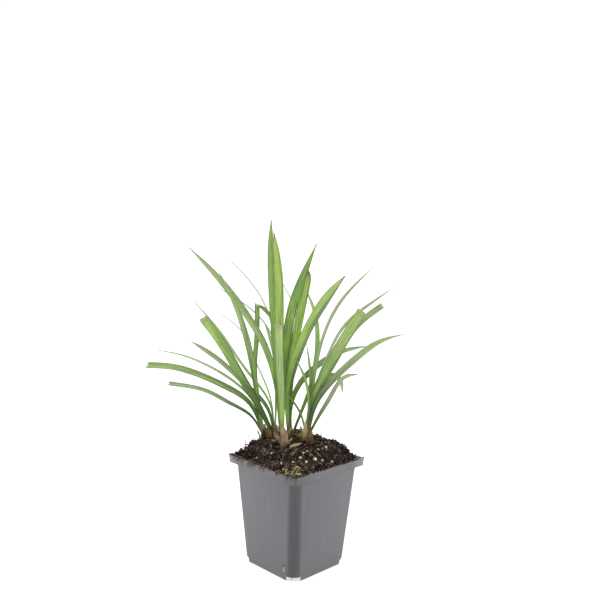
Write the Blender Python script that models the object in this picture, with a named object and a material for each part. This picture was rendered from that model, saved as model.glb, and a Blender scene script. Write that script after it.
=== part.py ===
"""Young liriope in a 9 cm square nursery pot.

The pot stands on z = 0 with its axis on Z and its sides along X and Y. The plant is described
as it is seen with the pot's corner (-x, -y) in front: across (to the right), depth (away) and
height, all in millimetres, and turned into the pot's own axes when it is built.
"""

import math
import random

import bmesh
import bpy
import numpy as np

MM = 0.001
VIEW_TURN = math.radians(-44.5)
CLEARANCE = 0.3

# Pot, in millimetres
POT_HEIGHT = 100.0
FOOT_WIDTH = 68.0
TOP_WIDTH = 84.0
SIDE_BOW = 2.3
CORNER_RADIUS = 10.0
WALL = 1.2
WALL_SPANS = 4
FLOOR = 1.5
LIP_WIDTH = 90.0
LIP_HEIGHT = 6.8
LIP_RADIUS = 3.0
BEAD_HEIGHT = 2.5
BEAD_STEP = 0.5
LIP_THICKNESS = 1.2
LIP_PLATE = 1.0
NOTCH_HEIGHT = 4.0
NOTCH_WIDTH = 12.6
NOTCH_FROM_AXIS = 34.0
SLIT_HEIGHT = 6.0
SLIT_WIDTH = 1.3
SLIT_BOTTOM = 8.0

# Soil, in millimetres
SOIL_EDGE_HEIGHT = 98.8
MOUND_HEIGHT = 14.5
MOUND_RAMP = 15.0
SOIL_RINGS = 15
LUMP_SIZE = 0.9
HOLE_DEPTH = 24.0

# Leaves, in millimetres
LEAF_THICKNESS = 0.7
LEAF_FOLD = 0.28
STATION_SPACING = 17.0
CROWN_HEIGHT = 113.5
CROWN_HALF_DEPTH = 2.5
FACE_RISE = math.radians(30.0)

# How an end narrows: the share of the length where it starts, and the power it follows.
TAPERS = {"pointed": (0.62, 2.2), "blunt": (0.72, 3.2)}

GREEN = (0.17, 0.33, 0.07)
DARK_GREEN = (0.09, 0.20, 0.06)
TAN = (0.45, 0.33, 0.20)
STRAW = (0.60, 0.50, 0.25)

# Each fan stands at (across, depth) where it leaves the soil, on a crown this wide each way.
FANS = {
    "fan_left": (-31.0, 14.0, 3.0),
    "fan_back_left": (-20.5, 12.0, 3.6),
    "fan_middle": (-13.0, -3.0, 4.0),
    "fan_centre": (-6.0, 10.0, 3.2),
    "fan_right": (9.0, 8.0, 3.8),
}

# Each leaf: width, the way its face looks at the foot and at the tip in degrees from the right
# of the view, its end, and the points that its midrib passes through above the crown.
LEAVES = {
    "fan_left": [
        (6.0, -80, -60, "pointed", [(-38, 14, 152), (-45, 13, 191), (-53, 12, 220), (-62, 11, 243),
                                    (-74, 10, 267)]),
        (4.5, -85, -80, "cut", [(-37, 16, 148), (-41, 18, 175), (-40, 20, 202), (-40, 23, 238)]),
        (3.5, -50, -20, "pointed", [(-41, 16, 145), (-60, 19, 164), (-86, 24, 178), (-109, 29, 186),
                                    (-134, 34, 190)]),
        (6.0, -75, -75, "cut", [(-46, 12, 147), (-66, 9, 161), (-93, 4, 174), (-115, -1, 181),
                                (-137, -6, 183)]),
        (4.0, -70, -70, "cut", [(-43, 10, 134), (-62, 1, 148), (-81, -10, 161), (-96, -22, 168),
                                (-112, -34, 173)]),
    ],
    "fan_back_left": [
        (8.0, -80, -85, "cut", [(-36, 7, 144), (-52, 1, 172), (-68, -7, 202), (-86, -16, 229)]),
        (3.5, -40, -40, "pointed", [(-26, 17, 144), (-49, 24, 174), (-73, 31, 206), (-100, 38, 236)]),
        (5.0, -70, -75, "blunt", [(-28, 21, 138), (-50, 31, 159), (-76, 43, 179), (-106, 54, 196)]),
        (3.0, -20, -20, "pointed", [(-21, 23, 156), (-26, 44, 212), (-42, 59, 246), (-70, 74, 275)]),
        (3.0, -30, -10, "pointed", [(-20, 23, 154), (-26, 39, 205), (-48, 50, 230), (-79, 60, 248)]),
        (3.0, -30, -10, "pointed", [(-26, 23, 148), (-43, 44, 182), (-56, 57, 206), (-78, 70, 221)]),
    ],
    "fan_middle": [
        (6.5, -70, -75, "blunt", [(-19, 0, 164), (-23, 8, 212), (-28, 24, 272), (-29, 38, 316)]),
        (8.0, -90, -85, "blunt", [(-16, -4, 164), (-18, -3, 209), (-20, 0, 265), (-25, 4, 305)]),
        (7.0, -95, -95, "cut", [(-15, -9, 160), (-17, -18, 194), (-18, -30, 227)]),
        (7.0, -50, -90, "pointed", [(-20, 4, 162), (-32, 12, 200), (-51, 21, 229), (-81, 38, 263),
                                    (-109, 54, 288)]),
        (4.5, -60, -70, "pointed", [(-19, 5, 160), (-22, 16, 187), (-34, 32, 221)]),
    ],
    "fan_centre": [
        (8.5, -85, -80, "pointed", [(-11, 12, 158), (-12, 7, 196), (-7, -2, 237), (2, -12, 267),
                                    (13, -24, 296)]),
        (7.5, -95, -85, "rounded", [(-8, 9, 160), (-5, 6, 197), (1, 0, 235), (7, -6, 272)]),
        (10.5, -115, -115, "blunt", [(-8, 2, 164), (1, -10, 202), (17, -27, 239), (37, -48, 271)]),
        (3.0, -30, -20, "pointed", [(-6, 15, 154), (-3, 26, 193), (-6, 42, 234), (-17, 52, 255)]),
        (5.5, -75, -40, "pointed", [(-5, 16, 150), (3, 21, 166), (18, 28, 180), (41, 38, 192),
                                    (68, 48, 196)]),
        (5.0, -60, -60, "pointed", [(3, 15, 137), (11, 19, 160), (17, 28, 201), (14, 34, 229),
                                    (3, 42, 255)]),
    ],
    "fan_right": [
        (3.5, -60, -40, "pointed", [(13, 13, 154), (19, 23, 196), (37, 38, 238), (71, 55, 273)]),
        (3.5, -50, -20, "pointed", [(14, 12, 153), (27, 18, 192), (41, 24, 218), (64, 31, 238),
                                    (89, 38, 255)]),
        (8.5, -80, -80, "cut", [(13, 6, 148), (24, 1, 178), (39, -6, 209), (55, -14, 238)]),
        (5.5, -60, -60, "cut", [(14, 9, 149), (33, 11, 187), (52, 12, 220), (76, 14, 240)]),
        (6.0, -65, -60, "pointed", [(16, 5, 147), (35, -2, 177), (52, -8, 195), (70, -14, 210),
                                    (91, -22, 219)]),
        (4.5, -110, -120, "blunt", [(19, 2, 136), (31, -8, 161), (41, -16, 178), (52, -24, 183)]),
        (6.0, -65, -60, "blunt", [(13, 12, 141), (18, 14, 156), (24, 16, 167), (30, 17, 172),
                                    (36, 19, 171), (40, 20, 165), (42, 22, 156)]),
        (3.0, -70, -60, "pointed", [(10, 4, 146), (7, -4, 170), (-3, -17, 195)]),
        (3.0, -60, -60, "pointed", [(11, 11, 146), (11, 17, 172), (7, 26, 201)]),
        (2.5, -60, -60, "pointed", [(4, 3, 136), (-2, -4, 149), (-11, -14, 162)]),
    ],
}

# The end of a leaf that is creased and hangs over: width, the way it faces, points from the crease.
FOLDED_ENDS = {
    "fan_left": (4.0, -80, [(-42, 23, 236), (-37, 25, 235), (-33, 26, 232), (-25, 28, 223)]),
}

# Dry husks, one node each: width, the way it faces, colour, foot (across, depth), points above.
HUSKS = {
    "husk_left": (5.0, -95, TAN, (-25.0, 5.5), [(-28, 4, 127)]),
    "husk_middle": (7.0, -80, TAN, (-11.5, -8.5), [(-12, -8.5, 122), (-14, -8, 132)]),
    "husk_right": (6.5, -85, TAN, (11.5, -1.2), [(13.5, -2.5, 125)]),
    "husk_front": (2.5, -80, STRAW, (-6.0, -11.5), [(-1, -11.5, 114), (5, -11, 116)]),
    "yellow_leaf": (4.5, -85, STRAW, (7.2, 2.6), [(7.4, 2.2, 124), (7.8, 1.8, 134)]),
}
HUSK_DEPTH = 12.0
SLOT_WIDTH = 3.4


def turned(across, depth):
    """X and Y in the pot's axes of a place given as seen from the front corner."""
    x = across * math.cos(VIEW_TURN) - depth * math.sin(VIEW_TURN)
    y = across * math.sin(VIEW_TURN) + depth * math.cos(VIEW_TURN)
    return x, y


def in_view(x, y):
    """Across and depth of a place given in the pot's axes."""
    across = x * math.cos(VIEW_TURN) + y * math.sin(VIEW_TURN)
    depth = -x * math.sin(VIEW_TURN) + y * math.cos(VIEW_TURN)
    return across, depth


def clear_scene():
    for item in list(bpy.data.objects):
        bpy.data.objects.remove(item, do_unlink=True)


def make_material(name, colour, roughness):
    material = bpy.data.materials.new(name)
    material.use_nodes = True
    shader = material.node_tree.nodes["Principled BSDF"]
    shader.inputs["Base Color"].default_value = (*colour, 1.0)
    shader.inputs["Roughness"].default_value = roughness
    shader.inputs["Metallic"].default_value = 0.0
    return material


def make_object(name, points, faces, material=None):
    """A mesh object from points in millimetres, with its faces turned outward."""
    mesh = bpy.data.meshes.new(name)
    mesh.from_pydata([tuple(c * MM for c in p) for p in points], [], faces)
    shape = bmesh.new()
    shape.from_mesh(mesh)
    bmesh.ops.recalc_face_normals(shape, faces=shape.faces)
    shape.to_mesh(mesh)
    shape.free()
    item = bpy.data.objects.new(name, mesh)
    bpy.context.scene.collection.objects.link(item)
    if material:
        mesh.materials.append(material)
    return item


def combine(target, operation, others, solver="EXACT"):
    """Join others to the target, or cut them from it, and remove them."""
    group = bpy.data.collections.new("operands")
    for other in others:
        group.objects.link(other)
    modifier = target.modifiers.new("combine", "BOOLEAN")
    modifier.operation = operation
    modifier.operand_type = "COLLECTION"
    modifier.collection = group
    modifier.solver = solver
    bpy.context.view_layer.update()
    graph = bpy.context.evaluated_depsgraph_get()
    result = bpy.data.meshes.new_from_object(target.evaluated_get(graph))
    target.modifiers.clear()
    target.data = result
    for other in others:
        bpy.data.objects.remove(other, do_unlink=True)
    bpy.data.collections.remove(group)


def keep_outer_shell(item):
    """Drop loose scraps and fill sealed hollows: only the largest connected shell stays."""
    shape = bmesh.new()
    shape.from_mesh(item.data)
    unseen = set(shape.faces)
    shells = []
    while unseen:
        shell = set()
        edge = [unseen.pop()]
        while edge:
            face = edge.pop()
            shell.add(face)
            for side in face.edges:
                for other in side.link_faces:
                    if other in unseen:
                        unseen.remove(other)
                        edge.append(other)
        shells.append(shell)
    shells.sort(key=lambda faces: sum(face.calc_area() for face in faces))
    drop = [face for shell in shells[:-1] for face in shell]
    bmesh.ops.delete(shape, geom=drop, context="FACES")
    shape.to_mesh(item.data)
    shape.free()


def square_outline(half, radius, bow=0.0, side_steps=6, arc_steps=5):
    """A square's outline with round corners and sides bowed outward, from its +X side on."""
    points = []
    flat = half - radius
    for side in range(4):
        turn = side * math.pi / 2
        local = []
        for i in range(side_steps):
            t = -1 + 2 * i / side_steps
            local.append((half + bow * (1 - t * t), flat * t))
        for i in range(arc_steps):
            a = math.pi / 2 * i / arc_steps
            local.append((flat + radius * math.cos(a), flat + radius * math.sin(a)))
        for x, y in local:
            points.append((x * math.cos(turn) - y * math.sin(turn),
                           x * math.sin(turn) + y * math.cos(turn)))
    return points


def loft(name, rings, material=None):
    """A closed solid through rings of equal length, each an outline at its own height."""
    points = [(x, y, z) for outline, z in rings for x, y in outline]
    count = len(rings[0][0])
    faces = []
    for k in range(len(rings) - 1):
        low = k * count
        for i in range(count):
            j = (i + 1) % count
            faces.append((low + i, low + j, low + count + j, low + count + i))
    faces.append(tuple(range(count)))
    last = (len(rings) - 1) * count
    faces.append(tuple(last + i for i in range(count)))
    return make_object(name, points, faces, material)


def wall_outline(z, inset):
    """The pot wall's outline at height z, moved inward by inset."""
    share = z / POT_HEIGHT
    half = (FOOT_WIDTH + (TOP_WIDTH - FOOT_WIDTH) * share) / 2
    return square_outline(half - inset, CORNER_RADIUS - inset, SIDE_BOW * share)


def wall_rings(low, high, inset):
    """The wall's outlines from one height to another, close enough to follow its bow."""
    heights = [low + (high - low) * k / WALL_SPANS for k in range(WALL_SPANS + 1)]
    return [(wall_outline(z, inset), z) for z in heights]


def block(name, centre, size, turn=0.0):
    """A box with its centre and size in millimetres, turned about Z."""
    sx, sy, sz = (s / 2 for s in size)
    corners = [(x, y, z) for z in (-sz, sz) for x, y in ((-sx, -sy), (sx, -sy), (sx, sy), (-sx, sy))]
    points = []
    for x, y, z in corners:
        points.append((centre[0] + x * math.cos(turn) - y * math.sin(turn),
                       centre[1] + x * math.sin(turn) + y * math.cos(turn), centre[2] + z))
    faces = [(0, 1, 2, 3), (4, 5, 6, 7), (0, 1, 5, 4), (1, 2, 6, 5), (2, 3, 7, 6), (3, 0, 4, 7)]
    return make_object(name, points, faces)


def corner_blocks(name, grow):
    """Four blocks under the corners, each larger than the notch by grow on every side."""
    reach = 30.0
    top = NOTCH_HEIGHT + grow
    middle = NOTCH_FROM_AXIS - grow + reach / 2
    made = []
    for k in range(4):
        turn = math.pi / 4 + k * math.pi / 2
        centre = (middle * math.cos(turn), middle * math.sin(turn), (top - reach) / 2)
        size = (reach, NOTCH_WIDTH + 2 * grow, top + reach)
        made.append(block(f"{name}_{k}", centre, size, turn))
    return made


def slit_cutters():
    """A drain slit low in each wall that faces along X, beside a corner."""
    made = []
    for k in (0, 2):
        side = k * math.pi / 2
        along = FOOT_WIDTH / 2 - CORNER_RADIUS - SLIT_WIDTH
        out = FOOT_WIDTH / 2
        spot = (out * math.cos(side) - along * math.sin(side),
                out * math.sin(side) + along * math.cos(side), SLIT_BOTTOM + SLIT_HEIGHT / 2)
        made.append(block(f"slit_{k}", spot, (6.0, SLIT_WIDTH, SLIT_HEIGHT), side))
    return made


def lip_outline(step):
    half = LIP_WIDTH / 2 - step
    return square_outline(half, LIP_RADIUS - step)


def build_pot():
    """Thin square pot: tapered wall, stepped square lip hollow under its ears, notched foot."""
    grey = make_material("pot_grey", (0.20, 0.20, 0.22), 0.45)
    top = POT_HEIGHT
    pot = loft("pot", wall_rings(0, top - 0.4, 0), grey)
    band = top - BEAD_HEIGHT
    lip = loft("lip", [(lip_outline(BEAD_STEP), top - LIP_HEIGHT), (lip_outline(BEAD_STEP), band),
                       (lip_outline(0), band + 0.3), (lip_outline(0), top - 0.4),
                       (lip_outline(0.4), top)])
    under = square_outline(LIP_WIDTH / 2 - BEAD_STEP - LIP_THICKNESS, LIP_RADIUS - BEAD_STEP)
    pocket = loft("pocket", [(under, top - LIP_HEIGHT - 5), (under, top - LIP_PLATE)])
    combine(lip, "DIFFERENCE", [pocket])
    combine(pot, "UNION", [lip])
    combine(pot, "DIFFERENCE", corner_blocks("notch", 0.0))
    cavity = loft("cavity", wall_rings(FLOOR, top + 5, WALL))
    combine(cavity, "DIFFERENCE", corner_blocks("step", WALL))
    combine(pot, "DIFFERENCE", [cavity])
    combine(pot, "DIFFERENCE", slit_cutters())
    return pot


def smooth(t):
    """A ramp from 0 to 1 with soft ends."""
    t = min(max(t, 0.0), 1.0)
    return t * t * (3 - 2 * t)


def soil_height(x, y):
    """The soil's surface: level with the lip at the wall, mounded under the crown."""
    from_wall = TOP_WIDTH / 2 - max(abs(x), abs(y))
    depth = in_view(x, y)[1]
    front = 0.45 + 0.55 * smooth((depth + 38.0) / 40.0)
    return SOIL_EDGE_HEIGHT + MOUND_HEIGHT * smooth(from_wall / MOUND_RAMP) * front


def build_soil():
    """Potting soil that fills the pot, with a lumpy mounded top and a plain hole for each foot."""
    dark = make_material("soil_dark", (0.045, 0.030, 0.022), 0.95)
    inset = WALL + CLEARANCE
    walls = wall_rings(FLOOR + CLEARANCE, SOIL_EDGE_HEIGHT, inset)
    points = [(x, y, z) for outline, z in walls[:-1] for x, y in outline]
    edge = walls[-1][0]
    count = len(edge)
    rings = len(walls) - 1 + SOIL_RINGS
    draw = random.Random(7)
    for ring in range(SOIL_RINGS):
        scale = 1 - ring / SOIL_RINGS
        for x, y in edge:
            px, py = x * scale, y * scale
            lump = draw.uniform(-1, 1) * LUMP_SIZE * (0.3 if ring == 0 else min(1.0, scale * 3))
            points.append((px, py, soil_height(px, py) + lump))
    points.append((0, 0, soil_height(0, 0)))
    faces = [tuple(range(count))]
    for k in range(rings - 1):
        low = k * count
        for i in range(count):
            j = (i + 1) % count
            a, b, c, d = low + i, low + j, low + count + j, low + count + i
            faces.extend([(a, b, c), (a, c, d)])
    last = (rings - 1) * count
    for i in range(count):
        faces.append((last + i, last + (i + 1) % count, len(points) - 1))
    soil = make_object("soil", points, faces, dark)
    combine(soil, "DIFFERENCE", corner_blocks("foot", WALL + CLEARANCE))
    holes = [crown_hole(name) for name in FANS]
    holes += [husk_hole(name) for name in HUSKS]
    combine(soil, "DIFFERENCE", holes)
    return soil


def ellipse_ring(place, half_width, half_depth, count=14):
    """An ellipse's outline round a place in the view, wide across the view."""
    ring = []
    for i in range(count):
        a = 2 * math.pi * i / count
        ring.append(turned(place[0] + half_width * math.cos(a), place[1] + half_depth * math.sin(a)))
    return ring


def crown_hole(name):
    """The plain hole that a fan's crown stands in."""
    across, depth, half_width = FANS[name]
    ring = ellipse_ring((across, depth), half_width + CLEARANCE, CROWN_HALF_DEPTH + CLEARANCE)
    low = CROWN_HEIGHT - HOLE_DEPTH
    return loft(f"hole_{name}", [(ring, low), (ring, low + 2 * HOLE_DEPTH)])


def husk_low(foot):
    """The height of a husk's lower end, below the soil's surface."""
    return soil_height(*turned(*foot)) - HUSK_DEPTH


def husk_hole(name):
    """The plain slot that a husk stands in."""
    width, face, _, foot, _ = HUSKS[name]
    height = 3 * HUSK_DEPTH
    x, y = turned(*foot)
    centre = (x, y, husk_low(foot) - CLEARANCE + height / 2)
    size = (width + 2 * CLEARANCE, SLOT_WIDTH, height)
    return block(f"slot_{name}", centre, size, VIEW_TURN + math.radians(face + 90))


def smooth_path(knots, spacing):
    """Points along a natural cubic spline through the knots, at each knot and between them.

    Returns the points, their directions, and their places as shares of the length.
    """
    knots = np.array(knots, float)
    spans = np.linalg.norm(np.diff(knots, axis=0), axis=1)
    places = np.concatenate([[0.0], np.cumsum(spans)])
    size = len(knots)
    rows = np.eye(size)
    right = np.zeros((size, 3))
    slopes = np.diff(knots, axis=0) / spans[:, None]
    for i in range(1, size - 1):
        rows[i, i - 1:i + 2] = spans[i - 1], 2 * (spans[i - 1] + spans[i]), spans[i]
        right[i] = 6 * (slopes[i] - slopes[i - 1])
    bends = np.linalg.solve(rows, right)
    points = []
    directions = []
    shares = []
    for i, h in enumerate(spans):
        steps = max(1, round(h / spacing))
        for k in range(steps + (i == size - 2)):
            b = h * k / steps
            a = h - b
            start = knots[i] / h - bends[i] * h / 6
            end = knots[i + 1] / h - bends[i + 1] * h / 6
            points.append((bends[i] * a ** 3 + bends[i + 1] * b ** 3) / (6 * h) + start * a + end * b)
            slope = (bends[i + 1] * b ** 2 - bends[i] * a ** 2) / (2 * h) + end - start
            directions.append(slope / np.linalg.norm(slope))
            shares.append((places[i] + b) / places[-1])
    return points, directions, shares


def width_share(s, end):
    """The blade's width along its length, as a share of its full width."""
    foot = 0.5 + 0.5 * smooth(s / 0.5)
    if end == "cut":
        return foot
    if end == "rounded":
        return foot * math.sqrt(max(0.16, 1 - max(0.0, (s - 0.9) / 0.1) ** 2))
    start, power = TAPERS[end]
    tip = max(0.0, (s - start) / (1 - start))
    return foot * max(0.1, 1 - tip ** power)


def blade(name, knots, width, faces_to, end, material=None):
    """A thin folded strip along a path: three points across its top and three under them."""
    path, directions, shares = smooth_path(knots, STATION_SPACING)
    count = len(path)
    points = []
    for i, s in enumerate(shares):
        face = math.radians(faces_to[0] + (faces_to[1] - faces_to[0]) * s)
        looks = np.array([math.cos(face) * math.cos(FACE_RISE), math.sin(face) * math.cos(FACE_RISE),
                          math.sin(FACE_RISE)])
        side = np.cross(looks, directions[i])
        side /= np.linalg.norm(side)
        up = np.cross(directions[i], side)
        half = width * width_share(s, end) / 2
        for across, lift in ((-1, LEAF_FOLD), (0, 0), (1, LEAF_FOLD)):
            for under in (0, 1):
                p = path[i] + side * half * across + up * (half * lift - under * LEAF_THICKNESS)
                x, y = turned(p[0], p[1])
                points.append((x, y, p[2]))
    return make_object(name, points, strip_faces(count), material)


def strip_faces(count):
    """Triangles round a strip of six-point stations, alike on its two faces, with both ends."""
    rim = (0, 2, 4, 5, 3, 1)
    faces = []
    for k in range(count - 1):
        a, b = 6 * k, 6 * (k + 1)
        for here, there in ((0, 2), (2, 4)):
            faces.append((a + here, a + there, b + there))
            faces.append((a + here, b + there, b + here))
            faces.append((a + here + 1, b + there + 1, a + there + 1))
            faces.append((a + here + 1, b + here + 1, b + there + 1))
        for edge in (0, 4):
            faces.append((a + edge, a + edge + 1, b + edge + 1))
            faces.append((a + edge, b + edge + 1, b + edge))
    last = 6 * (count - 1)
    for start in (0, last):
        faces.append((start + rim[0], start + rim[1], start + rim[4], start + rim[5]))
        faces.append((start + rim[1], start + rim[2], start + rim[3], start + rim[4]))
    return faces


def build_fan(name, material):
    """A fan of leaves joined to the short crown that stands in the soil."""
    across, depth, half_width = FANS[name]
    low = CROWN_HEIGHT - HOLE_DEPTH + CLEARANCE
    rings = [(ellipse_ring((across, depth), half_width * k, CROWN_HALF_DEPTH * k), z)
             for z, k in ((low, 1.0), (CROWN_HEIGHT + 2, 1.0), (CROWN_HEIGHT + 7, 0.75),
                          (CROWN_HEIGHT + 12, 0.4))]
    fan = loft(name, rings, material)
    blades = []
    for i, (width, foot_face, tip_face, end, points) in enumerate(LEAVES[name]):
        lean = max(-1.0, min(1.0, (points[0][0] - across) / 10.0))
        row = 0.8 * (i % 3 - 1)
        foot = (across + 0.45 * half_width * lean, depth + row, CROWN_HEIGHT + 2.0 + i % 2)
        blades.append(blade(f"{name}_{i}", [foot, *points], width, (foot_face, tip_face), end))
    if name in FOLDED_ENDS:
        width, face, points = FOLDED_ENDS[name]
        blades.append(blade(f"{name}_end", points, width, (face, face), "pointed"))
    combine(fan, "UNION", blades)
    keep_outer_shell(fan)
    return fan


def build_husk(name):
    """A dry husk: straight in its slot, leaning where it comes out."""
    width, face, colour, foot, points = HUSKS[name]
    low = husk_low(foot)
    straight = [(*foot, low + HUSK_DEPTH * share) for share in (0.0, 0.35, 0.7, 1.05)]
    return blade(name, straight + points, width, (face, face), "pointed", make_material(name, colour, 0.8))


def build_all():
    clear_scene()
    build_pot()
    build_soil()
    for name in FANS:
        colour = DARK_GREEN if name == "fan_back_left" else GREEN
        build_fan(name, make_material(f"{name}_leaf", colour, 0.4))
    for name in HUSKS:
        build_husk(name)


build_all()
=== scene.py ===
"""A young liriope in a 9 cm square nursery pot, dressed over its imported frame.

The pot stands on z = 0. The plant is described as seen with the pot's corner (-x, -y) in front:
across (to the right), depth (away) and height in millimetres, and turned into the pot's own axes
when it is made.
"""

import math

import bpy
import numpy as np
from mathutils import Euler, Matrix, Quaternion


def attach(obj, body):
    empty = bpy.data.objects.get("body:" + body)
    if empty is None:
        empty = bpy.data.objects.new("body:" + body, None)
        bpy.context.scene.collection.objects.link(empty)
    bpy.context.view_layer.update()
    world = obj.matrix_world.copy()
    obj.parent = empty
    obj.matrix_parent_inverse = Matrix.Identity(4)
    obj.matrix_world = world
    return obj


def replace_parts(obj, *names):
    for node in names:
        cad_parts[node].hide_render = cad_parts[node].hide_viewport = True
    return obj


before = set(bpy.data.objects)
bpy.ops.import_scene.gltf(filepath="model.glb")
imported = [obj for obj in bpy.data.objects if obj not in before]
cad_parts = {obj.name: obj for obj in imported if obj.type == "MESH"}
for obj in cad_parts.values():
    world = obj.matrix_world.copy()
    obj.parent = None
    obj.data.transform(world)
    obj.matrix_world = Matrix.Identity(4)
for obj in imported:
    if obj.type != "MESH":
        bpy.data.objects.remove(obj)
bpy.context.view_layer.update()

MM = 0.001
VIEW_TURN = math.radians(-44.5)

# Pot, in millimetres
POT_HEIGHT = 100.0
FOOT_WIDTH = 68.0
TOP_WIDTH = 84.0
SIDE_BOW = 2.3
CORNER_RADIUS = 10.0
WALL = 1.2
FLOOR = 1.5
LIP_WIDTH = 90.0
LIP_HEIGHT = 6.8
LIP_RADIUS = 3.0
BEAD_HEIGHT = 2.5
BEAD_STEP = 0.5
LIP_THICKNESS = 1.2
LIP_PLATE = 1.0
NOTCH_HEIGHT = 4.0
NOTCH_WIDTH = 12.6
NOTCH_FROM_AXIS = 34.0
SLIT_HEIGHT = 6.0
SLIT_WIDTH = 1.3
SLIT_BOTTOM = 8.0
SLIT_FROM_AXIS = FOOT_WIDTH / 2 - CORNER_RADIUS - SLIT_WIDTH
CLEARANCE = 0.3

# Soil, in millimetres; its lumps are given by how tall and how wide they are.
SOIL_EDGE_HEIGHT = 98.8
MOUND_HEIGHT = 14.5
MOUND_RAMP = 15.0
SOIL_LUMPS = ((1.1, 5.5), (0.8, 2.6), (0.45, 1.2))
SOIL_REACH = 41.0
LIP_REACH = 43.8

# The noise repeats after this many cells each way.
LATTICE = 64

# Leaves, in millimetres; a fan's crown narrows from the first height above the soil to the last.
LEAF_THICKNESS = 0.6
LEAF_FOLD = 0.28
EDGE_THINNING = 0.55
STATION_SPACING = 3.0
CUT_RAGGEDNESS = 1.3
CROWN_HEIGHT = 113.5
CROWN_DEPTH = 23.7
CROWN_RISE = 12.0
CROWN_NARROWS = ((2.0, 7.0, 12.0), (1.0, 0.75, 0.4))
CROWN_HALF_DEPTH = 2.5
CROWN_RIBS = 7
FACE_RISE = math.radians(30.0)

# Places across a blade's upper face, from -1 to 1, then the ring that goes back below it, and
# which of the ring's places lie below.
UPPER_FACE = np.array([-1, -0.8, -0.5, -0.2, 0, 0.2, 0.5, 0.8, 1.0])
BLADE_RING = np.concatenate([UPPER_FACE, UPPER_FACE[-2:0:-1]])
BELOW = np.arange(len(BLADE_RING)) >= len(UPPER_FACE)

# How an end narrows: the share of the length where it starts, and the power it follows.
TAPERS = {"pointed": (0.62, 2.2), "blunt": (0.72, 3.2)}

# Each fan stands at (across, depth) where it leaves the soil, on a crown this wide each way.
FANS = {
    "fan_left": (-31.0, 14.0, 3.0),
    "fan_back_left": (-20.5, 12.0, 3.6),
    "fan_middle": (-13.0, -3.0, 4.0),
    "fan_centre": (-6.0, 10.0, 3.2),
    "fan_right": (9.0, 8.0, 3.8),
}

# The foot of each fan: tone, how pale, how brown.
FEET = {
    "fan_left": (0.35, 0.7, 0.1),
    "fan_back_left": (0.8, 0.05, 0.35),
    "fan_middle": (0.35, 0.35, 0.35),
    "fan_centre": (0.75, 0.0, 0.75),
    "fan_right": (0.2, 0.5, 0.35),
}

# Leaves folded so that one half lies in the shade: the tone that half gains as painted shade, and the
# tone the other loses as painted light.
SHADED_HALVES = {("fan_centre", 2): 0.28, ("fan_middle", 1): 0.06, ("fan_right", 6): -0.12}

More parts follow.
